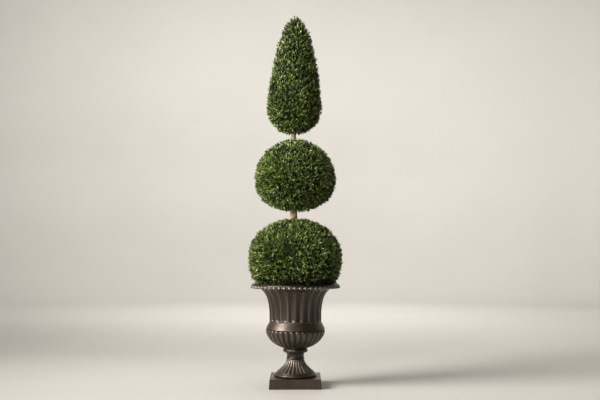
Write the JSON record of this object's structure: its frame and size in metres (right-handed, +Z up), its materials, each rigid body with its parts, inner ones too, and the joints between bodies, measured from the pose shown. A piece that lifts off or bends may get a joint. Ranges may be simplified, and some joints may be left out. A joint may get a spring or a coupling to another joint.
{
  "type": "boxwood cone topiary in an urn",
  "caption": "Clipped boxwood topiary: a teardrop cone above round tiers on a slim bare stem, growing in a fluted bronze-brown campana urn on a square plinth.",
  "frame": {"origin": "middle of the plinth's flat underside, where the urn stands on the ground", "axes": "+Z up along the stem, -Y towards the front, +X to the right seen from the front"},
  "size_m": [0.3746, 0.3733, 1.5226],
  "materials": {
    "urn_metal": "satin bronze-brown patina",
    "soil": "matte dark potting soil",
    "bark": "matte pale bark",
    "leaves": "satin leaves"
  },
  "bodies": {
    "root": {"urn_plinth": "urn_metal", "urn_foot": "urn_metal", "urn_collar": "urn_metal", "urn_belly": "urn_metal", "urn_wall": "urn_metal", "urn_rim": "urn_metal", "soil": "soil", "trunk": "bark", "bottom_ball_foliage": "leaves", "middle_ball_foliage": "leaves", "cone_foliage": "leaves"}
  },
  "joints": []
}
